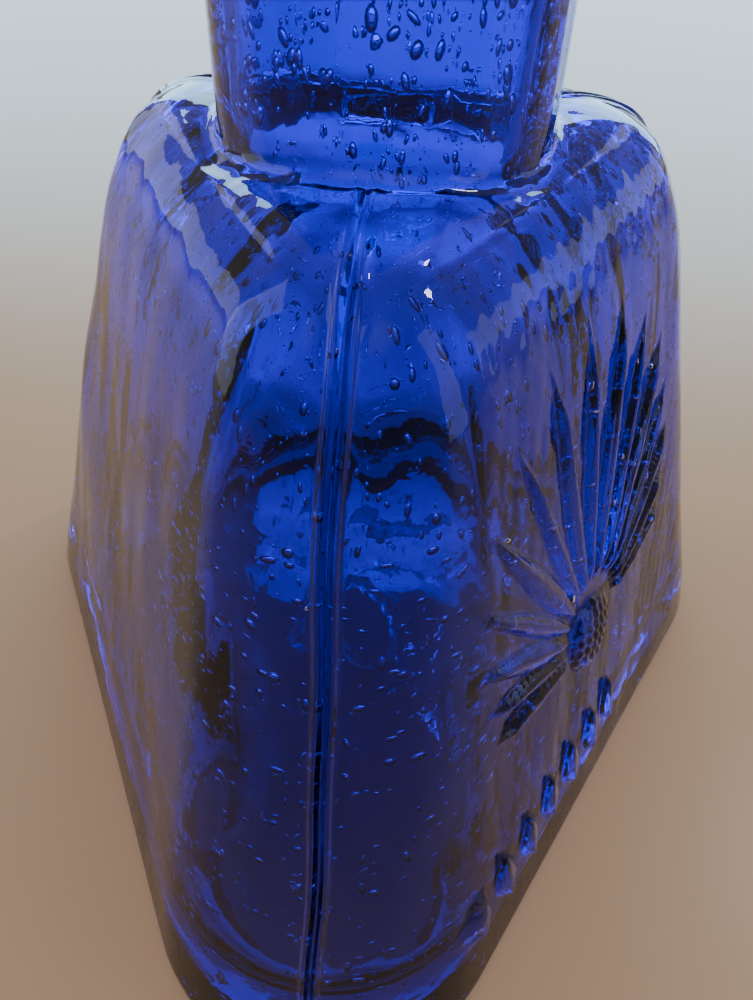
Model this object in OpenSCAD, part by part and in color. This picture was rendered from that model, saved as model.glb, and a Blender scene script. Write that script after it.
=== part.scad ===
// Three-sided, mould-blown cobalt glass bottle: a flaring body with rounded corners, a soft
// shoulder, a straight round neck with an applied lip, and a cork stopper.
// Millimetres. Origin: neck axis at the plane that the bottle stands on. +Z up.
// One rounded corner points along -Y, and the face with the plant relief looks along -30 degrees.

/* [Body] */
// Distance from the axis to each flat face, at the foot
foot_inradius = 57.6; // [52:0.2:64]
// Radius of the rounded corners, at the foot
foot_corner_r = 31.4; // [24:0.2:38]
// Distance from the axis to each flat face, where the face meets the shoulder
top_inradius = 34.5; // [33:0.1:37]
// Radius of the rounded corners, where the face meets the shoulder
top_corner_r = 19; // [17:0.1:21]
// Height of the flat faces
face_h = 98; // [92:1:104]
// Radius of the rounded edge between face and shoulder
shoulder_r = 20; // [18:0.5:21]
// Radius of the heel, where the sides turn under
heel_r = 5; // [3:0.5:7]
// Height of the punt, the hollow under the base
punt_h = 12; // [6:0.5:18]

/* [Glass] */
// Thickness of the side walls
wall = 5; // [4:0.25:7]
// Thickness of the floor above the punt
floor_t = 7; // [5:0.5:10]
// Radius of the inside corner between floor and wall
floor_corner_r = 9; // [6:0.5:12]

/* [Neck] */
// Outer radius of the neck
neck_r = 21.8; // [20:0.1:23]
// Radius of the bore
bore_r = 16; // [14:0.1:17]
// Height of the neck's root above the foot
neck_z = 118; // [117:0.5:121]
// Height of the mouth above the foot
mouth_z = 196; // [180:1:215]
// Height of the applied lip ring
lip_h = 14; // [10:0.5:18]
// How far the lip ring stands out from the neck
lip_out = 4.2; // [2.5:0.1:6]

/* [Relief] */
// Number of leaves in the fan
leaf_count = 15; // [5:1:15]
// Length of the longest leaf
leaf_len = 58; // [40:1:60]
// Greatest width of a leaf
leaf_w = 3.8; // [3:0.1:4.6]
// How far the relief stands out from the glass
relief_h = 1.4; // [0.8:0.1:2]
// Number of plain almond-shaped pads below the fan
pad_count = 7; // [3:1:8]

/* [Stopper] */
// Radial gap between the compressed cork and the bore
cork_gap = 0.06; // [0.02:0.01:0.1]
// Depth of the cork in the neck
cork_depth = 26; // [18:1:34]
// Height of the cork above the mouth
cork_proud = 11; // [8:1:16]

/* [Hidden] */

cobalt = [0.07, 0.12, 0.62, 0.8];
cork_tan = [0.72, 0.53, 0.34];

corner_dirs = [-90, 30, 150];     // directions of the three rounded corners
relief_dir = -30;                 // outward direction of the face with the relief
corner_steps = 14;                // segments round each corner
flat_steps = 8;                   // segments along each flat face
embed = 0.6;                      // how deep raised details sink into the glass they grow from
face_lean = atan((foot_inradius - top_inradius) / face_h);

// Side profile of the flat faces: inradius and corner radius at height z
function inradius(z) = foot_inradius + (top_inradius - foot_inradius) * z / face_h;
function corner_r(z) = foot_corner_r + (top_corner_r - foot_corner_r) * z / face_h;
// Distance from the axis to the middle of a rounded corner
function corner_reach(z) = 2 * inradius(z) - corner_r(z);

// A rounded triangle of inradius a and corner radius r, as a ring of points at height z:
// each corner's arc, then the points along the flat that follows it
function around(r, t) = [r * cos(t), r * sin(t)];
function tri_ring(a, r, z) = [
    for (d = corner_dirs)
        let (here = around(2 * (a - r), d), next = around(2 * (a - r), d + 120),
             out = around(r, d + 60))
        for (i = [1 : corner_steps + flat_steps])
            let (arc = here + around(r, d - 60 + 120 * i / corner_steps),
                 flat = here + out + (next - here) * (i - corner_steps) / flat_steps,
                 p = i <= corner_steps ? arc : flat)
            [p[0], p[1], z]
];
// A circle with the same points: each corner's arc takes corner_share degrees of it
corner_share = 48;
function round_ring(r, z) = [
    for (d = corner_dirs, i = [1 : corner_steps + flat_steps])
        let (on_arc = corner_share * (i / corner_steps - 0.5),
             on_flat = corner_share / 2
                 + (120 - corner_share) * (i - corner_steps) / flat_steps,
             p = around(r, d + (i <= corner_steps ? on_arc : on_flat)))
        [p[0], p[1], z]
];
function blend_rings(p, q, s) = [for (i = [0 : len(p) - 1]) p[i] + (q[i] - p[i]) * s];
function set_z(p, z) = [for (v = p) [v[0], v[1], z]];

// The rounded edge of the shoulder, k degrees from upright, inset by d from the outside.
// It starts at the face's own lean, so the face runs into it smoothly.
shoulder_end = 60;
function shoulder_ring(k, d) =
    let (drop = shoulder_r * cos(face_lean) - (shoulder_r - d) * cos(k))
    tri_ring(top_inradius - drop, max(top_corner_r - drop, 2),
             face_h - shoulder_r * sin(face_lean) + (shoulder_r - d) * sin(k));

// From the end of the rounded edge a crown runs in to a circle of radius root_r. Its slope
// fades to level, so the circle lies lowest at the middle of each flat face.
crown_slope = tan(90 - shoulder_end) / 3;
function crown_point(p, q, s) =
    let (d = norm([q[0] - p[0], q[1] - p[1]]), at = p + (q - p) * s)
    [at[0], at[1], p[2] + d * crown_slope * (1 - pow(1 - s, 3))];
function crown_ring(d, root_r, s) =
    let (edge = shoulder_ring(shoulder_end, d), rim = round_ring(root_r, 0))
    [for (i = [0 : len(edge) - 1]) crown_point(edge[i], rim[i], s)];
// A hollow fillet of radius f lifts the crown's inner circle into the neck wall
function root_ring(d, r, f, k) =
    let (rim = crown_ring(d, r + f, 1), at = round_ring(r + f * (1 - sin(k)), 0))
    [for (i = [0 : len(rim) - 1]) [at[i][0], at[i][1], rim[i][2] + f * (1 - cos(k))]];
function shoulder_rings(d, r, f, crown_steps) = concat(
    [for (k = [face_lean : (shoulder_end - face_lean) / 4 : shoulder_end + 0.1])
        shoulder_ring(k, d)],
    [for (i = [1 : crown_steps]) crown_ring(d, r + f, i / crown_steps)],
    [for (k = [30 : 30 : 90]) root_ring(d, r, f, k)],
    [round_ring(r, neck_z)]
);

// Underside: the punt dome, the flat that the bottle stands on, and the heel
stand_w = 9;                      // width of the standing ring
trim = 1;                         // stock below the foot plane, cut off flat
punt_steps = 6;
function foot_ring(inset, z) =
    tri_ring(foot_inradius - inset, max(foot_corner_r - inset, 1), z);
// The dome turns from the body's outline at s = 1 to a circle at its top
function dome_ring(edge, s, base_z, h) =
    let (r = norm([edge[0][0], edge[0][1]]) * 0.8, rim = round_ring(r, 0))
    set_z([for (v = blend_rings(edge, rim, 1 - s)) v * s],
          base_z + h * (0.5 + 0.5 * cos(180 * s)));
function heel_ring(k) =
    let (z = heel_r * (1 - cos(k)), inset = heel_r * (1 - sin(k)))
    tri_ring(inradius(z) - inset, max(corner_r(z) - inset, 1), z);
under_rings = concat(
    [for (i = [1 : punt_steps])
        dome_ring(foot_ring(heel_r + stand_w, 0), i / punt_steps, 0, punt_h)],
    [foot_ring(heel_r + stand_w, -trim), foot_ring(heel_r, -trim)],
    [for (k = [0 : 22.5 : 90]) heel_ring(k)]
);
root_fillet = 2.6;
outer_rings = concat(under_rings, shoulder_rings(0, neck_r, root_fillet, 5));

// Inside, from the floor up to the bore
in_floor_z = floor_t + 4;         // height of the floor where it meets the wall's round
in_dome_h = punt_h * 0.75;
bore_fillet = 4;
function reversed(v) = [for (i = [len(v) - 1 : -1 : 0]) v[i]];
function in_ring(k) =
    let (z = in_floor_z + floor_corner_r * (1 - cos(k)),
         inset = wall + floor_corner_r * (1 - sin(k)))
    tri_ring(inradius(z) - inset, max(corner_r(z) - inset, 2), z);
inner_rings = concat(
    [for (s = [0.2 : 0.2 : 0.8]) dome_ring(in_ring(0), s, in_floor_z, in_dome_h)],
    [for (k = [0 : 22.5 : 90]) in_ring(k)],
    shoulder_rings(wall, bore_r, bore_fillet, 4)
);
body_rings = concat(outer_rings, reversed(inner_rings));

// A closed skin over a list of rings, with a fan to the axis at each end
module skin(rings, first_z, last_z) {
    n = len(rings[0]);
    m = len(rings);
    points = concat([for (r = rings, p = r) p], [[0, 0, first_z], [0, 0, last_z]]);
    sides = [for (j = [0 : m - 2], i = [0 : n - 1])
        [j * n + i, (j + 1) * n + i, (j + 1) * n + (i + 1) % n, j * n + (i + 1) % n]];
    start_fan = [for (i = [0 : n - 1]) [m * n, i, (i + 1) % n]];
    end_fan = [for (i = [0 : n - 1])
        [m * n + 1, (m - 1) * n + (i + 1) % n, (m - 1) * n + i]];
    polyhedron(points, concat(sides, start_fan, end_fan), convexity = 8);
}

module glass_body() {
    span = 4 * foot_inradius;
    color(cobalt) difference() {
        skin(body_rings, punt_h, in_floor_z + in_dome_h);
        translate([-span / 2, -span / 2, -2 * trim]) cube([span, span, 2 * trim]);
    }
}

module tube_wall(r_out, r_in, h) {
    rotate_extrude($fn = 96) translate([r_in, 0]) square([r_out - r_in, h]);
}

module neck() {
    color(cobalt) translate([0, 0, neck_z]) tube_wall(neck_r, bore_r, mouth_z - lip_h - neck_z);
}

// The applied lip: a tooled ring with rounded edges and a flat mouth
module lip_ring() {
    edge_r = 3;
    r_out = neck_r + lip_out;
    color(cobalt) translate([0, 0, mouth_z - lip_h])
        rotate_extrude($fn = 96) union() {
            translate([bore_r, 0]) square([r_out - edge_r - bore_r, lip_h]);
            translate([r_out - edge_r, edge_r]) square([edge_r, lip_h - 2 * edge_r]);
            translate([r_out - edge_r, edge_r]) circle(r = edge_r, $fn = 48);
            translate([r_out - edge_r, lip_h - edge_r]) circle(r = edge_r, $fn = 48);
        }
}

// A slim ridge down the middle of each rounded corner, left by the mould's joints
module mould_seams() {
    seam_w = 1.6;
    seam_out = 0.6;
    z_low = 10;
    lean = atan((corner_reach(0) - corner_reach(face_h)) / face_h);
    run = (face_h - z_low) / cos(lean);
    color(cobalt) for (d = corner_dirs)
        rotate([0, 0, d]) translate([corner_reach(z_low), 0, z_low]) rotate([0, -lean, 0])
            translate([-embed, -seam_w / 2, 0]) cube([embed + seam_out, seam_w, run]);
}

// Places children on the face with the relief: +X out of the glass, +Y across, +Z up the face
module on_relief_face() {
    rotate([0, 0, relief_dir]) translate([foot_inradius, 0, 0]) rotate([0, -face_lean, 0])
        children();
}
// A flat shape drawn in (across, up) raised out of the face by height h
module raised(h) {
    rotate([90, 0, 90]) translate([0, 0, -embed]) linear_extrude(embed + h) children();
}

heart_at = [-3, 46];              // across and up the face
heart_r = 7;
leaf_spread = 160;                // angle between the outer leaves
leaf_inner = 9;                   // distance from the heart's middle to the leaf's root
leaf_belly = 0.72;                // below 1, the leaf is widest nearer its root
leaf_point = 1.25;                // how sharply the leaf narrows to its ends
leaf_steps = 10;                  // segments along each edge of a leaf
// Pointed leaf along +Y: a slim lens, widest at 38% of its length
function leaf_edge(len, w, s) =
    [w / 2 * pow(sin(180 * pow(s, leaf_belly)), leaf_point), s * len];
function leaf_outline(len, w) = concat(
    [for (i = [0 : leaf_steps]) leaf_edge(len, w, i / leaf_steps)],
    [for (i = [leaf_steps - 1 : -1 : 1]) leaf_edge(len, -w, i / leaf_steps)]
);
// The fan's leaves get shorter towards its sides
function leaf_angle(i) = leaf_spread * (i / (leaf_count - 1) - 0.5);
function leaf_length(i) = leaf_len * (0.52 + 0.48 * pow(cos(leaf_angle(i)), 1.5)) - leaf_inner;

module relief_leaves() {
    color(cobalt) on_relief_face() raised(relief_h) for (i = [0 : leaf_count - 1])
        translate(heart_at) rotate(-leaf_angle(i)) translate([0, leaf_inner])
            polygon(leaf_outline(leaf_length(i), leaf_w * (i % 2 == 0 ? 1 : 0.8)));
}

module relief_heart() {
    color(cobalt) on_relief_face() raised(relief_h + 0.8) translate(heart_at)
        circle(r = heart_r, $fn = 48);
}

module relief_pads() {
    pad_pitch = 8;
    pad_len = 12;
    pad_w = 5;
    row_up = 15;
    first = -43;
    color(cobalt) on_relief_face() raised(relief_h) for (i = [0 : pad_count - 1])
        translate([first + pad_pitch * i, row_up]) polygon(leaf_outline(pad_len, pad_w));
}

// Rough ring left by the pontil rod, high in the punt
module pontil_scar() {
    scar_r = 11;
    scar_w = 3;
    color(cobalt) translate([0, 0, punt_h - 2.2])
        rotate_extrude($fn = 64) translate([scar_r - scar_w, 0]) square([scar_w, 2.6]);
}

// Tapered natural cork: squeezed to the bore inside the neck, wider where it stands free
module cork_stopper() {
    ledge = 1.4;
    taper = 1.6;
    edge = 1.2;
    r_in = bore_r - cork_gap;
    color(cork_tan) translate([0, 0, mouth_z]) rotate_extrude($fn = 96)
        polygon([
            [0, -cork_depth], [r_in - edge, -cork_depth], [r_in, -cork_depth + edge],
            [r_in, 0], [bore_r + ledge, 0], [bore_r + ledge + taper, cork_proud - edge],
            [bore_r + ledge + taper - edge, cork_proud], [0, cork_proud]
        ]);
}

glass_body();
neck();
lip_ring();
mould_seams();
relief_leaves();
relief_heart();
relief_pads();
pontil_scar();
cork_stopper();
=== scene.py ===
"""Three-sided cobalt glass bottle with a cork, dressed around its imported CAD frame."""
import math
import bmesh
import bpy
import numpy as np
from mathutils import Matrix, Vector


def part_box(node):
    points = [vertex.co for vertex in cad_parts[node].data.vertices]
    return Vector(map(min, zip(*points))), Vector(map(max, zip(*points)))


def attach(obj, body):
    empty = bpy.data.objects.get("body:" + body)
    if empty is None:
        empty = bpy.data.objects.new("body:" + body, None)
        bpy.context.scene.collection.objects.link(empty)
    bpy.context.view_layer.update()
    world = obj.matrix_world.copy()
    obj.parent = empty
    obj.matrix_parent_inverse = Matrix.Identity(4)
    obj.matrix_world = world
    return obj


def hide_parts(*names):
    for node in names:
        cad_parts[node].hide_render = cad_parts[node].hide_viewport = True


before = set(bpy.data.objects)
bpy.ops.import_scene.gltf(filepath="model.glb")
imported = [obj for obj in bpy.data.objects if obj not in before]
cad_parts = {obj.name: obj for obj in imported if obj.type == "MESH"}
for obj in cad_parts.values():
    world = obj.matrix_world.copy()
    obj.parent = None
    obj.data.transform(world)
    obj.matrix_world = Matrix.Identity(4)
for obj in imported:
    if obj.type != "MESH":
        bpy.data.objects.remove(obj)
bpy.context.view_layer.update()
MM = 0.001
rng = np.random.default_rng(11)    # places the seed bubbles

# ---------------------------------------------------------------- sizes, in mm and degrees
# The design's driving dimensions; those that a node's box gives are read from the frame.
neck_lo, neck_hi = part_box("neck")
lip_lo, lip_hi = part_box("lip_ring")
NECK_R = (neck_hi[0] - neck_lo[0]) / 2 / MM
NECK_Z = neck_lo[2] / MM
LIP_Z = lip_lo[2] / MM
MOUTH_Z = lip_hi[2] / MM
LIP_R = (lip_hi[0] - lip_lo[0]) / 2 / MM
BORE_R = 16.0
FOOT_A, FOOT_R = 57.6, 31.4        # inradius and corner radius at the foot
TOP_A, TOP_R = 34.5, 19.0          # the same where the faces meet the shoulder
LEAST_R = 2.0                      # no inner corner is sharper than this
FACE_H = 98.0
SHOULDER_R = 20.0
SHOULDER_END = 60.0                # degrees from upright where the crown begins
CROWN_SLOPE = math.tan(math.radians(90 - SHOULDER_END)) / 3
HEEL_R = 5.0
STAND_W = 9.0                      # width of the flat ring that the bottle stands on
PUNT_H = 12.0
WALL = 5.0
FLOOR_Z = 11.0
FLOOR_DOME = 9.0
FLOOR_R = 9.0
DOME_ROUND = 0.8                   # a dome's outline turns into a circle of this share of its size
ROOT_FILLET = 2.6
BORE_FILLET = 4.0
RIM_R = 1.6
RIM_Z = MOUTH_Z - RIM_R - 0.4      # the rim's rounding starts here, just under the lip's top
CORNERS = (-90.0, 30.0, 150.0)     # directions of the rounded corners
CORNER_SHARE = 48.0                # degrees of the neck's circle that each corner maps to
LEAN = math.degrees(math.atan((FOOT_A - TOP_A) / FACE_H))

# mesh density: the share of each corner's arc at each point, dense in the middle where the
# mould seam runs, then the points along the relief face and along the other faces
ARC_COARSE, ARC_FINE = ((16, 32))
SEAM_BAND = 0.06                   # half width of the dense middle, as a share of the arc
ARC_SHARE = np.concatenate([np.linspace(0, 0.5 - SEAM_BAND, ARC_COARSE)[1:],
                            np.linspace(0.5 - SEAM_BAND, 0.5 + SEAM_BAND, ARC_FINE)[1:],
                            np.linspace(0.5 + SEAM_BAND, 1, ARC_COARSE)[1:]])
RELIEF_N, PLAIN_N = ((210, 36))
DENSE = 1.0
LIP_N, PONTIL_N, CORK_N = 128, 96, 180


def steps(n):
    return max(3, int(round(n * DENSE)))


# ---------------------------------------------------------------- rings of points
def flat_counts():
    return (RELIEF_N, PLAIN_N, PLAIN_N)


def polar(r, degrees):
    t = np.radians(degrees)
    return np.stack([r * np.cos(t), r * np.sin(t)], axis=-1)


def tri_ring(a, r, z):
    """A rounded triangle of inradius a and corner radius r: each corner's arc, then its flat."""
    out = []
    for d, count in zip(CORNERS, flat_counts()):
        here, after = polar(2 * (a - r), d), polar(2 * (a - r), d + 120)
        arc = here + polar(r, d - 60 + 120 * ARC_SHARE)
        share = (np.arange(1, count + 1) / count)[:, None]
        flat = here + polar(r, d + 60) + (after - here) * share
        out += [arc, flat]
    xy = np.concatenate(out)
    return np.column_stack([xy, np.full(len(xy), float(z))])


def round_ring(r, z):
    """A circle with the same points as tri_ring."""
    out = []
    for d, count in zip(CORNERS, flat_counts()):
        on_arc = CORNER_SHARE * (ARC_SHARE - 0.5)
        on_flat = CORNER_SHARE / 2 + (120 - CORNER_SHARE) * np.arange(1, count + 1) / count
        out.append(polar(r, d + np.concatenate([on_arc, on_flat])))
    xy = np.concatenate(out)
    return np.column_stack([xy, np.full(len(xy), float(z))])


def inradius(z):
    return FOOT_A + (TOP_A - FOOT_A) * z / FACE_H


def corner_r(z):
    return FOOT_R + (TOP_R - FOOT_R) * z / FACE_H


def side_ring(z, inset):
    return tri_ring(inradius(z) - inset, max(corner_r(z) - inset, LEAST_R), z)


def shoulder_ring(k, d):
    """The ring at k degrees round the shoulder's arc, on a skin d inside the outer one."""
    c, s = math.cos(math.radians(k)), math.sin(math.radians(k))
    lean = math.radians(LEAN)
    drop = SHOULDER_R * math.cos(lean) - (SHOULDER_R - d) * c
    z = FACE_H - SHOULDER_R * math.sin(lean) + (SHOULDER_R - d) * s
    return tri_ring(TOP_A - drop, max(TOP_R - drop, LEAST_R), z)


def crown_ring(d, root_r, s):
    """A ring a share s of the way from the shoulder's end to the neck's root."""
    edge, rim = shoulder_ring(SHOULDER_END, d), round_ring(root_r, 0)
    run = np.linalg.norm(rim[:, :2] - edge[:, :2], axis=1)
    xy = edge[:, :2] + (rim[:, :2] - edge[:, :2]) * s
    return np.column_stack([xy, edge[:, 2] + run * CROWN_SLOPE * (1 - (1 - s) ** 3)])


def root_ring(d, r, f, k):
    """A ring at k degrees round the fillet of radius f that leads into the neck."""
    c, s = math.cos(math.radians(k)), math.sin(math.radians(k))
    rim = crown_ring(d, r + f, 1)
    at = round_ring(r + f * (1 - s), 0)
    return np.column_stack([at[:, :2], rim[:, 2] + f * (1 - c)])


def shoulder_rings(d, r, f):
    rings = [shoulder_ring(k, d) for k in np.linspace(LEAN, SHOULDER_END, steps(26))]
    rings += [crown_ring(d, r + f, s) for s in np.linspace(0, 1, steps(14))[1:]]
    rings += [root_ring(d, r, f, k) for k in np.linspace(0, 90, steps(9))[1:]]
    return rings


def dome_rings(edge, base_z, h, count):
    """From near the axis out to an edge ring, turning from a circle to the edge's outline."""
    rim = round_ring(np.linalg.norm(edge[0, :2]) * DOME_ROUND, 0)
    rings = []
    for s in np.linspace(0, 1, count + 1)[1:]:
        xy = (edge[:, :2] * s + rim[:, :2] * (1 - s)) * s
        z = base_z + h * (0.5 + 0.5 * math.cos(math.pi * s))
        rings.append(np.column_stack([xy, np.full(len(xy), z)]))
    return rings


def stand_ring(w):
    """A ring on the flat that the bottle stands on, w inside the heel's rounding."""
    return tri_ring(FOOT_A - HEEL_R - w, FOOT_R - HEEL_R - w, 0)


def turn_rings(base_z, r, inset, angles):
    """Side rings that turn in towards a floor, round an arc of radius r."""
    rings = []
    for k in angles:
        z = base_z + r * (1 - math.cos(math.radians(k)))
        rings.append(side_ring(z, inset + r * (1 - math.sin(math.radians(k)))))
    return rings


def rim_rings():
    mid_r = (NECK_R + BORE_R) / 2
    half = (NECK_R - BORE_R) / 2
    return [round_ring(mid_r + half * math.cos(t), RIM_Z + RIM_R * math.sin(t))
            for t in np.linspace(0, math.pi, steps(14))[1:-1]]


def skin_rings():
    """Every ring of the glass skin, from the punt's top round the outside to the inner floor."""
    in_turn = turn_rings(FLOOR_Z, FLOOR_R, WALL, np.linspace(90, 0, steps(14)))
    floor_dome = dome_rings(in_turn[-1], FLOOR_Z, FLOOR_DOME, steps(20))[::-1][1:]
    parts = (
        ("punt", dome_rings(stand_ring(STAND_W), 0, PUNT_H, steps(22))),
        ("stand", [stand_ring(w) for w in np.linspace(STAND_W, 0, steps(8))[1:]]),
        ("heel", turn_rings(0, HEEL_R, 0, np.linspace(0, 90, steps(12))[1:])),
        ("side", [side_ring(z, 0) for z in np.linspace(HEEL_R, FACE_H, steps(215))[1:-1]]),
        ("shoulder", shoulder_rings(0, NECK_R, ROOT_FILLET)),
        ("neck", [round_ring(NECK_R, z) for z in np.linspace(NECK_Z, RIM_Z, steps(54))]),
        ("rim", rim_rings()),
        ("bore", [round_ring(BORE_R, z) for z in np.linspace(RIM_Z, NECK_Z, steps(44))]),
        ("in_shoulder", shoulder_rings(WALL, BORE_R, BORE_FILLET)[::-1]),
        ("in_side", [side_ring(z, WALL)
                     for z in np.linspace(FACE_H, FLOOR_Z + FLOOR_R, steps(60))[1:-1]]),
        ("in_floor", in_turn + floor_dome),
    )
    rings = np.array([ring for _, part in parts for ring in part])
    zones = np.array([name for name, part in parts for _ in part])
    return rings, zones


# ---------------------------------------------------------------- surface detail
def waves(points, wavelength, count, seed):
    """Smooth seeded noise of about unit size: a sum of sine waves in random directions."""
    r = np.random.default_rng(seed)
    total = np.zeros(points.shape[:-1])
    for _ in range(count):
        way = r.normal(size=3)
        way *= 2 * math.pi / (wavelength * r.uniform(0.7, 1.4) * np.linalg.norm(way))
        total += np.sin(points @ way + r.uniform(0, 2 * math.pi))
    return total / math.sqrt(count / 2)


def smooth_step(x):
    x = np.clip(x, 0, 1)
    return x * x * (3 - 2 * x)


def bell(x, width):
    return np.exp(-(x / width) ** 2)


def in_zones(zones, *names):
    """True for each ring in the named zones, ready to spread over the ring's points."""
    return np.isin(zones, names)[:, None]


RELIEF_DIR = -30.0                 # direction of the face that has the relief
RELIEF_H = 1.4
LEAVES = 15
LEAF_LEN, LEAF_W = 58.0, 3.8
LEAF_SPREAD = 160.0
LEAF_INNER = 9.0                   # the leaves start this far from the heart's centre
LEAF_SHORTEST = 0.52               # length of a sideways leaf, as a share of the upright one
LEAF_SLIMMER = 0.8                 # width of every second leaf, as a share of its neighbours
LEAF_POINT = 1.25                  # how sharply a leaf narrows to its ends
LEAF_BELLY = 0.72                  # under 1, the widest place moves towards the root
LEAF_SINK = 0.9                    # a leaf sinks into the face where its half width is less
LINE_PITCH, LINE_DEPTH = 0.95, 0.10    # the fine lines along a leaf
EDGE_SOFT = 0.4                    # how far a raised edge takes to rise
HEART_AT = (-3.0, 46.0)
HEART_R, HEART_H = 7.0, 1.9
SCALE_DEPTH = 0.28
SCALE_WAYS = (1.9, 1.1)            # the two slopes of the crossed waves that make the scales
PADS, PAD_PITCH, PAD_LEN, PAD_W = 7, 8.0, 12.0, 5.0
PAD_FIRST, PAD_UP = -43.0, 15.0


def blade(across, along, length, width, height):
    """A pointed blade: raised edges, a midrib and fine lines, from its root at the origin."""
    s = np.clip(along / length, 1e-4, 1 - 1e-4)
    half = width / 2 * np.sin(math.pi * s ** LEAF_BELLY) ** LEAF_POINT
    inside = (along > 0) & (along < length)
    rise = smooth_step((half - np.abs(across)) / EDGE_SOFT + 0.5)
    roof = 0.5 + 0.5 * np.clip(1 - np.abs(across) / np.maximum(half, EDGE_SOFT), 0, 1)
    roof -= LINE_DEPTH * (0.5 + 0.5 * np.cos(across * 2 * math.pi / LINE_PITCH))
    fade = smooth_step(half / LEAF_SINK)
    return np.where(inside, height * rise * roof * fade, 0.0)


def heart_height(x, y):
    """The scaled dome that the leaves spread from."""
    r = np.hypot(x, y)
    dome = np.sqrt(np.clip(1 - (r / HEART_R) ** 2, 0, 1))
    a, b = SCALE_WAYS
    scales = SCALE_DEPTH * np.sin(x * a + y * b) * np.sin(x * b - y * a)
    return np.where(r < HEART_R, dome * (HEART_H + scales), 0.0)


def relief_height(across, up):
    """Height of the relief over its flat face, from face coordinates."""
    x, y = across - HEART_AT[0], up - HEART_AT[1]
    h = np.zeros_like(x)
    for i in range(LEAVES):
        t = math.radians(LEAF_SPREAD * (i / (LEAVES - 1) - 0.5))
        share = LEAF_SHORTEST + (1 - LEAF_SHORTEST) * math.cos(t) ** 1.5
        width = LEAF_W * (1 if i % 2 == 0 else LEAF_SLIMMER)
        along = x * math.sin(t) + y * math.cos(t) - LEAF_INNER
        side = x * math.cos(t) - y * math.sin(t)
        h = np.maximum(h, blade(side, along, LEAF_LEN * share - LEAF_INNER, width, RELIEF_H))
    h = np.maximum(h, heart_height(x, y))
    for i in range(PADS):
        h = np.maximum(h, blade(across - PAD_FIRST - PAD_PITCH * i, up - PAD_UP,
                                PAD_LEN, PAD_W, RELIEF_H))
    return h


FACE_REACH = 0.8                   # the relief fades out where the skin leaves the flat face


def carved(points):
    """The relief's height at each point of the outer sides and shoulder."""
    turn = math.radians(RELIEF_DIR)
    x, y, z = points[..., 0], points[..., 1], points[..., 2]
    across = -x * math.sin(turn) + y * math.cos(turn)
    out = x * math.cos(turn) + y * math.sin(turn)
    off_face = np.abs(out - inradius(z))
    fade = smooth_step(2 - 2 * off_face / FACE_REACH)
    height = relief_height(across, z / math.cos(math.radians(LEAN))) * fade
    return np.where(off_face < FACE_REACH, height, 0)


SEAM_H = 1.7                       # multiplies the three heights below
SEAM_HUMP, SEAM_HUMP_W = 0.20, 1.9
SEAM_RIDGE, SEAM_RIDGE_W = 0.34, 0.42
SEAM_GROOVE, SEAM_GROOVE_W = 0.45, 0.34
SEAM_HALF = 1.0                    # from the groove to the ridge on each side
SEAM_LOW, SEAM_TOP = 8.0, 116.0    # the seam fades out over 10 and 6 mm inside these heights
SEAM_CLEAR = 40.0                  # degrees either side of a corner that its seam can reach


def seam_height(points):
    """Two slim ridges with a fine groove between them, along the middle of each corner."""
    z = points[..., 2]
    h = np.zeros(points.shape[:-1])
    angle = np.degrees(np.arctan2(points[..., 1], points[..., 0]))
    radius = np.hypot(points[..., 0], points[..., 1])
    for d in CORNERS:
        off = (angle - d + 180) % 360 - 180
        wander = 0.3 * np.sin(z / 13.0 + d) + 0.12 * np.sin(z / 5.1)
        across = radius * np.radians(off) - wander
        ridge = SEAM_HUMP * bell(across, SEAM_HUMP_W)
        ridge += SEAM_RIDGE * bell(np.abs(across) - SEAM_HALF, SEAM_RIDGE_W)
        ridge -= SEAM_GROOVE * bell(across, SEAM_GROOVE_W)
        fade = smooth_step((z - SEAM_LOW) / 10) * smooth_step((SEAM_TOP - z) / 6)
        fade = fade * (np.abs(off) < SEAM_CLEAR)
        h += SEAM_H * ridge * fade
    return h


EASE_RINGS = steps(9)              # how many rings the easing reaches over
EASE_LOW, EASE_TOP = 80.0, 109.0   # it fades in over 9 mm and out over 7 mm inside these heights


def eased(points, zones):
    """The points with the line where the faces meet the shoulder eased into a slow curve."""
    at = np.arange(-3 * EASE_RINGS, 3 * EASE_RINGS + 1)
    kernel = np.exp(-0.5 * (at / EASE_RINGS) ** 2)
    kernel /= kernel.sum()
    smooth = np.zeros_like(points)
    for shift, share in zip(at, kernel):
        smooth += share * np.roll(points, shift, axis=0)
    z = points[..., 2:]
    near = smooth_step((z - EASE_LOW) / 9) * smooth_step((EASE_TOP - z) / 7)
    near *= in_zones(zones, "side", "shoulder", "in_side", "in_shoulder")[..., None]
    return points + (smooth - points) * near


SLUMP_DIR = 150.0                  # the corner whose shoulder sank while the glass was soft
SLUMP = 1.9
SLUMP_LOW, SLUMP_RISE = 36.0, 76.0     # it starts at this height and is full after the rise
SLUMP_NEAR, SLUMP_REACH = 4.0, 50.0    # the same, going out towards the corner


def slumped(points):
    """The points with one corner's shoulder drawn in and down, both skins alike."""
    turn = np.radians(SLUMP_DIR)
    out = points[..., 0] * math.cos(turn) + points[..., 1] * math.sin(turn)
    amount = SLUMP * smooth_step((points[..., 2] - SLUMP_LOW) / SLUMP_RISE)
    amount = amount * smooth_step((out - SLUMP_NEAR) / SLUMP_REACH)
    moved = points.copy()
    moved[..., 0] -= amount * math.cos(turn)
    moved[..., 1] -= amount * math.sin(turn)
    moved[..., 2] -= amount
    return moved


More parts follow.
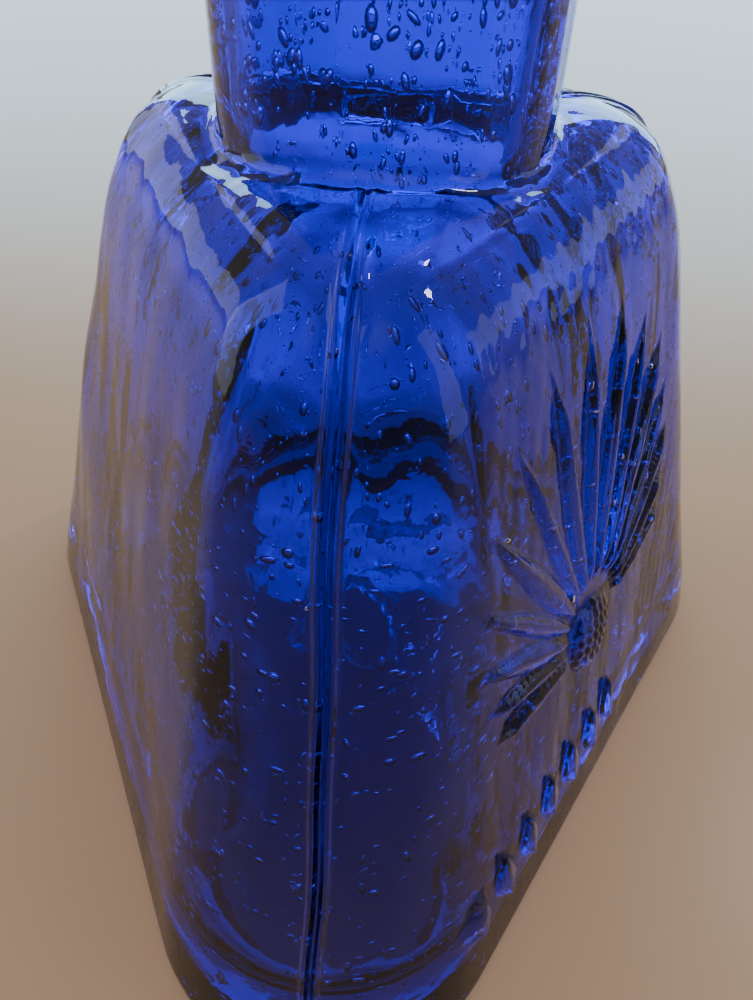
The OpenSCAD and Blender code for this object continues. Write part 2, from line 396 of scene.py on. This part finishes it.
def grid_normals(p):
    """Unit normals of a grid of points that closes round its second axis."""
    round_way = np.roll(p, -1, axis=1) - np.roll(p, 1, axis=1)
    up_way = np.gradient(p, axis=0)
    n = np.cross(round_way, up_way)
    return n / np.maximum(np.linalg.norm(n, axis=2, keepdims=True), 1e-9)


# the uneven hand-blown surface: each row is a height and waves' wavelength, count and seed; the
# first row of each skin is broad, and the others are drawn upward by the blowing
OUTER_WAVES = ((0.13, 36, 26, 1), (0.05, 9, 30, 2), (0.018, 3.2, 36, 3))
INNER_WAVES = ((0.35, 42, 26, 4), (0.16, 11, 30, 5), (0.045, 4.0, 30, 6))
BORE_WAVES = (0.45, 12, 30, 7)     # the neck's inside is drawn into uneven upright streaks
DRAWN = np.array([1.0, 1.0, 0.14])
SIDE_INSET, NECK_INSET, INNER_INSET = 0.15, 0.05, 0.1
BORE_SHARE, FLOOR_SHARE = 0.6, 0.4     # how much of the inner waves these zones get
CALM_LOW, CALM_RISE = 3.0, 12.0    # the dents start at this height and are full after the rise
CAD_FACET_SAG = 0.12               # the true arcs stand this far off the frame's flat facets
CORK_CLEAR = 24.0                  # this much of the bore, from the mouth down, stays true


def uneven(points, rows):
    """The sum of the rows' waves at each point."""
    height, *wave = rows[0]
    total = height * waves(points, *wave)
    for height, *wave in rows[1:]:
        total += height * waves(points * DRAWN, *wave)
    return total


def outer_dents(points, zones):
    soft = smooth_step((points[..., 2] - CALM_LOW) / CALM_RISE)
    inset = np.where(in_zones(zones, "neck"), NECK_INSET, SIDE_INSET)
    return (uneven(points, OUTER_WAVES) - inset) * soft


def inner_dents(points, zones):
    z = points[..., 2]
    bore = in_zones(zones, "bore")
    blown = uneven(points, INNER_WAVES)
    height, *wave = BORE_WAVES
    blown += np.where(bore, height * waves(points * DRAWN, *wave), 0)
    share = np.where(bore, BORE_SHARE, 1.0)
    share = np.where(in_zones(zones, "in_floor"), FLOOR_SHARE, share)
    by_cork = smooth_step((MOUTH_Z - CORK_CLEAR - z) / 8)
    return (blown * share - INNER_INSET) * np.where(z > NECK_Z, by_cork, 1)


def detail(points, zones):
    """How far each point of the skin moves out along its normal."""
    walls = in_zones(zones, "side", "shoulder")
    outer = in_zones(zones, "side", "shoulder", "neck", "heel")
    inner = in_zones(zones, "bore", "in_shoulder", "in_side", "in_floor")
    h = np.where(walls, carved(points), 0)
    h += np.where(walls, seam_height(points), 0)
    h -= np.where(outer, CAD_FACET_SAG * smooth_step(points[..., 2] / 2), 0)
    h += np.where(outer, outer_dents(points, zones), 0)
    h += np.where(inner, inner_dents(points, zones), 0)
    return h


# ---------------------------------------------------------------- seed bubbles
SEED_COUNT = 7600
# fine, plain and large seeds: middle slim radius and its spread, then each kind's share
SEED_KINDS = ((0.19, 0.3), (0.35, 0.3), (0.58, 0.22))
SEED_SHARES = (0.6, 0.37, 0.03)
SEED_LEAST, SEED_MOST = 0.09, 1.0  # limits of the slim radius
SEED_STRETCH = (0.4, 2.6)          # how much longer than wide a fine seed is; large ones less
SEED_FLAT = 0.8                    # depth into the wall, as a share of the slim radius
SEED_SKIN, SEED_FAR = 0.35, 1.1    # glass left between a seed and the outer and inner skins
FINE_SEED_R = 0.24                 # seeds over this slim radius get a finer mesh
SEED_TILT = 0.22                   # spread of the seeds' directions, in radians
LEAST_STEP = 0.05                  # level rings get seeds as if they were this far apart
CLUSTER_AT = (33.0, 6.0, 110.0)    # a crowd of seeds under the shoulder beside the relief
CLUSTER_REACH = 15.0
CLUSTER_SHARE = 0.05
CORNER_WAYS = polar(1, np.array(CORNERS))
ON_CORNER = 0.8                    # cosine from a corner's direction that counts as on it
ALL_UPRIGHT_Z = 88.0               # above this, every seed was drawn upward
SOME_UPRIGHT = 0.25                # share of the seeds on the corners that are upright too


def round_shape(subdivisions):
    """Points and triangles of a small round, to be stretched into a seed bubble."""
    bm = bmesh.new()
    bmesh.ops.create_icosphere(bm, subdivisions=subdivisions, radius=1)
    pts = np.array([v.co[:] for v in bm.verts])
    tris = np.array([[v.index for v in f.verts] for f in bm.faces])
    bm.free()
    return pts, tris


COARSE_ROUND, FINE_ROUND = round_shape(1), round_shape(2)


def seed_bubble(p, n):
    """A void under the skin at p, whose normal is n: points, and faces turned into the void."""
    side = np.cross((0.0, 0.0, 1.0), n)
    side /= np.linalg.norm(side)
    rise = np.cross(n, side)
    middle, spread = SEED_KINDS[rng.choice(len(SEED_KINDS), p=SEED_SHARES)]
    slim = float(np.clip(rng.lognormal(math.log(middle), spread), SEED_LEAST, SEED_MOST))
    finest = SEED_KINDS[0][0]
    stretch = 1 + rng.uniform(*SEED_STRETCH) * (finest / max(slim, finest)) ** 0.6
    # drawn upward on the neck and the flat faces, lying across on the rounded corners
    on_corner = np.abs(n[:2] @ CORNER_WAYS.T).max() > ON_CORNER
    upright = p[2] > ALL_UPRIGHT_Z or not on_corner or rng.random() < SOME_UPRIGHT
    turn = rng.normal(0, SEED_TILT) + (math.pi / 2 if upright else 0)
    long_way = side * math.cos(turn) + rise * math.sin(turn)
    short_way = np.cross(n, long_way)
    centre = p - n * rng.uniform(slim + SEED_SKIN, WALL - slim - SEED_FAR)
    shape, tris = FINE_ROUND if slim > FINE_SEED_R else COARSE_ROUND
    points = (centre + shape[:, :1] * long_way * slim * stretch
              + shape[:, 1:2] * short_way * slim + shape[:, 2:] * n * slim * SEED_FLAT)
    return points, tris[:, ::-1]


def seeds(points, normals, zones):
    """Points and triangles of all the seed bubbles, which lie in the outer walls."""
    rows = np.flatnonzero(in_zones(zones, "side", "shoulder", "neck", "heel"))
    # chance by the rings' and points' spacing, so that dense places don't gather more bubbles
    z_step = np.abs(np.gradient(points[:, 0, 2]))[rows] + LEAST_STEP
    lengths = np.linalg.norm(points - np.roll(points, 1, axis=1), axis=2)
    row_chance = z_step / z_step.sum()
    away = np.linalg.norm(points[rows] - CLUSTER_AT, axis=2)
    crowd = np.argwhere(away < CLUSTER_REACH)
    all_pts, all_tris = [], []
    base = 0
    for _ in range(SEED_COUNT):
        if rng.random() < CLUSTER_SHARE:
            near, i = crowd[rng.integers(len(crowd))]
            j = rows[near]
        else:
            j = rng.choice(rows, p=row_chance)
            i = rng.choice(points.shape[1], p=lengths[j] / lengths[j].sum())
        pts, tris = seed_bubble(points[j, i], normals[j, i])
        all_pts.append(pts)
        all_tris.append(tris + base)
        base += len(pts)
    return np.concatenate(all_pts), np.concatenate(all_tris)


# ---------------------------------------------------------------- meshes
def add_mesh(name, points, face_sets, smooth=True):
    """A mesh object from points and arrays of faces; each array's faces have one size."""
    mesh = bpy.data.meshes.new(name)
    corners = np.concatenate([np.asarray(f, np.int32).ravel() for f in face_sets])
    sizes = np.concatenate([np.full(len(f), len(f[0]), np.int32) for f in face_sets])
    starts = np.concatenate([[0], np.cumsum(sizes)[:-1]]).astype(np.int32)
    mesh.vertices.add(len(points))
    mesh.vertices.foreach_set("co", np.asarray(points, np.float32).ravel())
    mesh.loops.add(len(corners))
    mesh.loops.foreach_set("vertex_index", corners)
    mesh.polygons.add(len(sizes))
    mesh.polygons.foreach_set("loop_start", starts)
    mesh.update(calc_edges=True)
    mesh.validate()
    if smooth:
        mesh.shade_smooth()
    obj = bpy.data.objects.new(name, mesh)
    bpy.context.scene.collection.objects.link(obj)
    return obj


def fan(centre, start, n, flip):
    """Triangles from a centre point to a ring of n points."""
    i = np.arange(n)
    k = (i + 1) % n
    ends = (k, i) if flip else (i, k)
    return np.column_stack([np.full(n, centre), start + ends[0], start + ends[1]])


def closing_band(m, n):
    """Quads from the last ring of m back to the first."""
    i = np.arange(n)
    k = (i + 1) % n
    return np.stack([(m - 1) * n + i, (m - 1) * n + k, k, i], axis=-1)


def skin_faces(m, n):
    """Quads between neighbouring rings, for m rings of n points."""
    i = np.arange(n)
    j = np.arange(m - 1)[:, None]
    k = (i + 1) % n
    quads = np.stack([j * n + i, j * n + k, (j + 1) * n + k, (j + 1) * n + i], axis=-1)
    return quads.reshape(-1, 4)


def capped(rings, caps):
    """Points and faces of a skin of rings, closed at each end by a fan from a cap point."""
    m, n, _ = rings.shape
    points = np.concatenate([rings.reshape(-1, 3), caps])
    faces = [skin_faces(m, n), fan(m * n, 0, n, True), fan(m * n + 1, (m - 1) * n, n, False)]
    return points, faces


def turn_outward(obj):
    bm = bmesh.new()
    bm.from_mesh(obj.data)
    bmesh.ops.recalc_face_normals(bm, faces=bm.faces)
    bm.to_mesh(obj.data)
    bm.free()
    return obj


def band_piece(name, rings):
    """A closed band, such as the lip: its last ring joins its first."""
    m, n, _ = rings.shape
    faces = [skin_faces(m, n), closing_band(m, n)]
    return turn_outward(add_mesh(name, rings.reshape(-1, 3) * MM, faces))


def glass_skin():
    """The whole glass: the outside, rim, bore and inside in one skin, with the seed voids."""
    points, zones = skin_rings()
    points = eased(points, zones)
    normals = grid_normals(points)
    shaped = slumped(points + normals * detail(points, zones)[..., None])
    verts, faces = capped(shaped, [[0, 0, PUNT_H], [0, 0, FLOOR_Z + FLOOR_DOME]])
    seed_pts, seed_tris = seeds(shaped, grid_normals(shaped), zones)
    faces.append(seed_tris + len(verts))
    return add_mesh("bottle_glass", np.concatenate([verts, seed_pts]) * MM, faces)


def turned(outline, count):
    """Rings of points round the neck's axis, one for each (radius, z) point of an outline."""
    t = np.arange(count) * 2 * math.pi / count
    return np.array([np.column_stack([r * np.cos(t), r * np.sin(t), np.full(count, z)])
                     for r, z in outline])


def round_edge(r, z, edge, start, count):
    """A quarter turn of an outline, whose arc of radius edge has its centre at (r, z)."""
    return [(r + edge * math.cos(t), z + edge * math.sin(t))
            for t in np.radians(np.linspace(start, start + 90, count))]


LIP_EDGE = 3.0                     # radius of the collar's edges
LIP_SUNK = 0.5                     # how far the collar is sunk into the neck's glass
LIP_BASE = 0.3                     # the collar's underside rises this much towards the neck
LIP_UNEVEN_H = 7.0                 # height over which the lower edge wavers
LIP_INSET, LIP_DENT = 0.12, 0.08   # how far the outside is drawn in, and its dents


def lip_piece():
    """The applied lip: a tooled collar laid round the neck's end, its lower edge uneven."""
    inner = NECK_R - LIP_SUNK
    low, high = LIP_Z + LIP_EDGE, MOUTH_Z - LIP_EDGE
    outline = [(inner, LIP_Z + LIP_BASE)]
    outline += round_edge(LIP_R - LIP_EDGE, low, LIP_EDGE, -90, 9)
    outline += [(LIP_R, z) for z in np.linspace(low, high, 8)[1:-1]]
    outline += round_edge(LIP_R - LIP_EDGE, high, LIP_EDGE, 0, 9)
    outline += [(inner, MOUTH_Z)]
    p = turned(outline, LIP_N)
    near_edge = smooth_step((LIP_Z + LIP_UNEVEN_H - p[..., 2]) / LIP_UNEVEN_H)
    turn = np.arctan2(p[..., 1], p[..., 0])
    r = np.hypot(p[..., 0], p[..., 1])
    drawn_in = smooth_step((r - NECK_R) / 2) * (LIP_INSET + LIP_DENT * waves(p, 11, 20, 8))
    rings = p.copy()
    rings[..., :2] *= (1 - drawn_in / r)[..., None]
    rings[..., 2] += near_edge * (0.7 + 0.5 * np.sin(2 * turn + 0.6) + 0.25 * np.sin(5 * turn))
    return band_piece("applied_lip", rings)


SCAR_R, SCAR_W, SCAR_H = 9.5, 1.7, 0.9     # radius of the ring, and its half width and height
SCAR_SET = 1.1                     # its middle lies this far under the punt's top
SCAR_ROUGH = 0.16


def pontil_piece():
    """The ring of rough, broken glass that the pontil rod left in the punt."""
    outline = [(SCAR_R + SCAR_W * math.cos(t), PUNT_H - SCAR_SET + SCAR_H * math.sin(t))
               for t in np.linspace(0, 2 * math.pi, 17)[:-1]]
    p = turned(outline, PONTIL_N)
    turn = np.arctan2(p[..., 1], p[..., 0])
    rings = p + SCAR_ROUGH * waves(p, 2.4, 30, 9)[..., None] * np.array([1, 1, 0.8])
    rings[..., 2] += 0.35 * np.sin(3 * turn + 1) - 0.2
    return band_piece("pontil_scar_rough", rings)


CORK_EDGE = 1.3                    # radius of the cork's worn edges
CORK_GAP = 0.15                    # its radius is this much under the bore's and its node's
CORK_LEDGE_W = 1.3                 # width of the ledge that rests on the rim
LEDGE_LOW, LEDGE_Z, LEDGE_TOP = -0.4, 0.25, 0.4    # the ledge's bend, as heights over the mouth
CORK_INSET = 0.12                  # the surface stays this far inside the cork's CAD node
CORK_AXIS_R = 0.4                  # radius of the innermost ring, which the caps close
PORE_DEPTH, PORE_FROM, PORE_MOST = 0.55, 1.15, 1.2
GRAIN_DEPTH = 0.05


def cork_outline(bottom, top, r_top):
    """The cork's outline from the middle of its bottom, up its side, to the middle of its top."""
    r_in, r_ledge, r_out = BORE_R - CORK_GAP, BORE_R + CORK_LEDGE_W, r_top - CORK_GAP
    side_z = np.linspace(bottom + CORK_EDGE, MOUTH_Z + LEDGE_LOW, 40)[1:]
    head_z = MOUTH_Z + LEDGE_TOP
    outline = [(r, bottom) for r in np.linspace(CORK_AXIS_R, r_in - CORK_EDGE, 20)]
    outline += round_edge(r_in - CORK_EDGE, bottom + CORK_EDGE, CORK_EDGE, -90, 6)[1:]
    outline += [(r_in, z) for z in side_z]
    outline += [(r_in + (r_ledge - r_in) * s, MOUTH_Z + LEDGE_Z) for s in (0.5, 1.0)]
    outline += [(r_ledge + (r_out - r_ledge) * s, head_z + (top - CORK_EDGE - head_z) * s)
                for s in np.linspace(0, 1, 20)[1:]]
    outline += round_edge(r_out - CORK_EDGE, top - CORK_EDGE, CORK_EDGE, 0, 6)[1:]
    outline += [(r, top) for r in np.linspace(r_out - CORK_EDGE, CORK_AXIS_R, 24)[1:]]
    return outline


def cork_piece():
    """Tapered natural cork with worn edges and open pores."""
    lo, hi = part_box("cork_stopper")
    bottom, top = lo[2] / MM, hi[2] / MM
    p = turned(cork_outline(bottom, top, (hi[0] - lo[0]) / 2 / MM), CORK_N)
    pores = np.clip(waves(p * np.array([1, 1, 2.2]), 4.2, 40, 12) - PORE_FROM, 0, PORE_MOST)
    grain = np.clip(waves(p, 1.6, 40, 13), -2, 2)
    depth = CORK_INSET + PORE_DEPTH * pores + GRAIN_DEPTH * grain
    depth = depth * (np.hypot(p[..., 0], p[..., 1]) > 1)
    rings = p - grid_normals(p) * depth[..., None]
    verts, faces = capped(rings, [[0, 0, bottom + CORK_INSET], [0, 0, top - CORK_INSET]])
    return turn_outward(add_mesh("natural_cork", verts * MM, faces))


# ---------------------------------------------------------------- materials
def put(node, **values):
    """Set a node's inputs; an underscore in a name stands for a space."""
    for name, value in values.items():
        node.inputs[name.replace("_", " ")].default_value = value


def new_material(name):
    mat = bpy.data.materials.new(name)
    mat.use_nodes = True
    tree = mat.node_tree
    bsdf = next(n for n in tree.nodes if n.type == "BSDF_PRINCIPLED")
    out = next(n for n in tree.nodes if n.type == "OUTPUT_MATERIAL")
    return mat, tree, bsdf, out


def noise(tree, coords, scale, detail_level):
    node = tree.nodes.new("ShaderNodeTexNoise")
    put(node, Scale=scale, Detail=detail_level)
    tree.links.new(coords, node.inputs["Vector"])
    return node.outputs["Fac"]


def bumpy(tree, bsdf, height, strength, distance):
    """Link a height to the surface's normal; its full depth, distance, is in metres."""
    node = tree.nodes.new("ShaderNodeBump")
    put(node, Strength=strength, Distance=distance)
    tree.links.new(height, node.inputs["Height"])
    tree.links.new(node.outputs["Normal"], bsdf.inputs["Normal"])


def ramp(tree, value, stops):
    node = tree.nodes.new("ShaderNodeValToRGB")
    while len(node.color_ramp.elements) < len(stops):
        node.color_ramp.elements.new(0.5)
    for element, (at, colour) in zip(node.color_ramp.elements, stops):
        element.position = at
        element.color = (*colour, 1)
    tree.links.new(value, node.inputs["Fac"])
    return node.outputs["Color"]


WHITE = (1, 1, 1, 1)
COBALT_CLEAR = (0.24, 0.1, 0.975, 1)   # what passes through the glass
COBALT_DENSITY = 520.0
GLASS_SHEEN = (0.6, 0.65, 1.0, 1)
GLASS_IOR = 1.52
WEAR_SCALE = 90.0
PEEL_SCALE, PEEL_H = 420.0, 0.0002     # fine ripples; the height is in metres


def glass_material(name, rough_lo, rough_hi, bump_strength):
    """Clear glass tinted by absorption inside it, with patches of light wear."""
    mat, tree, bsdf, out = new_material(name)
    coords = tree.nodes.new("ShaderNodeTexCoord").outputs["Object"]
    put(bsdf, Base_Color=WHITE, Transmission_Weight=1.0, IOR=GLASS_IOR, Specular_Tint=GLASS_SHEEN)
    wear = tree.nodes.new("ShaderNodeMapRange")
    put(wear, From_Min=0.45, From_Max=0.75, To_Min=rough_lo, To_Max=rough_hi)
    tree.links.new(noise(tree, coords, WEAR_SCALE, 3.0), wear.inputs["Value"])
    tree.links.new(wear.outputs["Result"], bsdf.inputs["Roughness"])
    bumpy(tree, bsdf, noise(tree, coords, PEEL_SCALE, 2.0), bump_strength, PEEL_H)
    tint = tree.nodes.new("ShaderNodeVolumeAbsorption")
    put(tint, Color=COBALT_CLEAR, Density=COBALT_DENSITY)
    tree.links.new(tint.outputs["Volume"], out.inputs["Volume"])
    return mat


GRAIN_SCALE, GRAIN_H = 420.0, 0.0004
CORK_TANS = ((0.25, (0.23, 0.12, 0.05)), (0.48, (0.52, 0.33, 0.17)), (0.8, (0.68, 0.48, 0.28)))


def cork_material():
    mat, tree, bsdf, _ = new_material("natural_cork")
    coords = tree.nodes.new("ShaderNodeTexCoord").outputs["Object"]
    grain = noise(tree, coords, GRAIN_SCALE, 8.0)
    tree.links.new(ramp(tree, grain, CORK_TANS), bsdf.inputs["Base Color"])
    put(bsdf, Roughness=0.82)
    bumpy(tree, bsdf, grain, 0.5, GRAIN_H)
    return mat


def floor_material():
    mat, _, bsdf, _ = new_material("pale_floor")
    put(bsdf, Base_Color=(0.70, 0.475, 0.30, 1), Roughness=0.3, Specular_IOR_Level=0.6)
    return mat


# ---------------------------------------------------------------- the pieces
cobalt = glass_material("cobalt_glass", 0.0, 0.03, 0.12)
rough_cobalt = glass_material("broken_glass", 0.25, 0.5, 0.6)

bottle = glass_skin()
bottle.data.materials.append(cobalt)
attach(bottle, "bottle")
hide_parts("glass_body", "neck", "mould_seams", "relief_leaves", "relief_heart",
            "relief_pads")

lip = lip_piece()
lip.data.materials.append(cobalt)
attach(lip, "bottle")
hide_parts("lip_ring")

pontil = pontil_piece()
pontil.data.materials.append(rough_cobalt)
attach(pontil, "bottle")
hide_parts("pontil_scar")

cork = cork_piece()
cork.data.materials.append(cork_material())
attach(cork, "stopper")
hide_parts("cork_stopper")


# ---------------------------------------------------------------- stage, light and camera
STAGE_HALF = 3.0


def floor():
    ways = [(-1, -1), (1, -1), (1, 1), (-1, 1)]
    corners = [(STAGE_HALF * x, STAGE_HALF * y, 0) for x, y in ways]
    obj = add_mesh("floor", corners, [[(0, 1, 2, 3)]], smooth=False)
    obj.data.materials.append(floor_material())


COOL = (0.9, 0.95, 1.0)
WARM = (1.0, 0.97, 0.92)
SKY = (0.4, 0.74, 1.0)
# soft boxes: name, place, what it is aimed at, its size, watts and colour
LIGHTS = (
    ("window_behind", (0.0, 1.5, 0.42), (0, 0, 0.08), (2.2, 0.7), 26, SKY),
    ("strip_left", (-1.1, 0.12, 0.5), (0, 0, 0.1), (0.5, 1.1), 2.2, COOL),
    ("strip_right", (1.1, -0.3, 0.5), (0, 0, 0.1), (0.3, 1.0), 0.9, COOL),
    ("low_left", (-1.15, 0.75, 0.25), (0, 0, 0.1), (0.9, 0.35), 0.85, COOL),
    ("low_right", (1.15, 0.75, 0.25), (0, 0, 0.1), (0.9, 0.35), 0.7, COOL),
    ("side_glint", (0.75, 0.45, 1.05), (0, 0, 0.1), (0.1, 0.1), 1.4, WARM),
)


def soft_box(name, at, aim, size, watts, colour):
    light = bpy.data.lights.new(name, "AREA")
    light.shape = "RECTANGLE"
    light.size, light.size_y = size
    light.energy = watts
    light.color = colour
    obj = bpy.data.objects.new(name, light)
    obj.location = at
    obj.rotation_mode = "QUATERNION"
    obj.rotation_quaternion = (Vector(aim) - Vector(at)).to_track_quat("-Z", "Y")
    bpy.context.scene.collection.objects.link(obj)


ROOM = (1.0, 0.87, 0.75, 1)
# the room's glows: the way to its middle, the cosines from it where it starts and is full, and
# the strength outside it and in it
GLOWS = (
    ((0.0, 0.34, 0.94), 0.5, 0.98, 0, 0.08),       # overhead, a little behind
    ((0.0, 1.0, 0.0), -0.95, 0.1, 0.24, 0.38),     # the surround, dimmer behind the camera
    ((0.0, -0.55, 0.83), 0.8, 0.96, 0, 0.75),      # high in front; the front corner mirrors it
)


def world_glow(tree, aim, edge, core, dim, bright):
    """A smooth glow on the world that goes from dim to bright towards one direction."""
    facing = tree.nodes.new("ShaderNodeVectorMath")
    facing.operation = "DOT_PRODUCT"
    facing.inputs[1].default_value = aim
    way = tree.nodes.new("ShaderNodeTexCoord").outputs["Generated"]
    tree.links.new(way, facing.inputs[0])
    fade = tree.nodes.new("ShaderNodeMapRange")
    fade.interpolation_type = "SMOOTHERSTEP"
    put(fade, From_Min=edge, From_Max=core, To_Min=dim, To_Max=bright)
    tree.links.new(facing.outputs["Value"], fade.inputs["Value"])
    return fade.outputs["Result"]


def world_light():
    """A soft studio room: its glows are added up."""
    world = bpy.data.worlds.new("soft_room")
    world.use_nodes = True
    tree = world.node_tree
    back = next(n for n in tree.nodes if n.type == "BACKGROUND")
    total = world_glow(tree, *GLOWS[0])
    for glow in GLOWS[1:]:
        added = tree.nodes.new("ShaderNodeMath")
        added.operation = "ADD"
        tree.links.new(total, added.inputs[0])
        tree.links.new(world_glow(tree, *glow), added.inputs[1])
        total = added.outputs["Value"]
    tree.links.new(total, back.inputs["Strength"])
    put(back, Color=ROOM)
    bpy.context.scene.world = world


# The camera stands close in front of the rounded corner and looks down on the shoulder.
# Its place is in neck radii, as the bottle's proportions are.
CAMERA_AT = (0.336, -4.975, 6.864)
PITCH, ROLL, YAW = 44.0, 3.06, -2.95
LENS = 28.67


def camera():
    data = bpy.data.cameras.new("camera")
    data.sensor_width = 36
    data.lens = LENS
    data.clip_start, data.clip_end = 0.01, 50
    obj = bpy.data.objects.new("camera", data)
    p, roll, yaw = math.radians(PITCH), math.radians(ROLL), math.radians(YAW)
    ahead = Vector((math.sin(yaw) * math.cos(p), math.cos(yaw) * math.cos(p), -math.sin(p)))
    level = Vector((math.cos(yaw), -math.sin(yaw), 0))
    upward = level.cross(ahead)
    right = level * math.cos(roll) + upward * math.sin(roll)
    up = upward * math.cos(roll) - level * math.sin(roll)
    turn = Matrix((right, up, -ahead)).transposed()
    obj.matrix_world = Matrix.Translation(Vector(CAMERA_AT) * NECK_R * MM) @ turn.to_4x4()
    bpy.context.scene.collection.objects.link(obj)
    bpy.context.scene.camera = obj


floor()
world_light()
for light in LIGHTS:
    soft_box(*light)
camera()
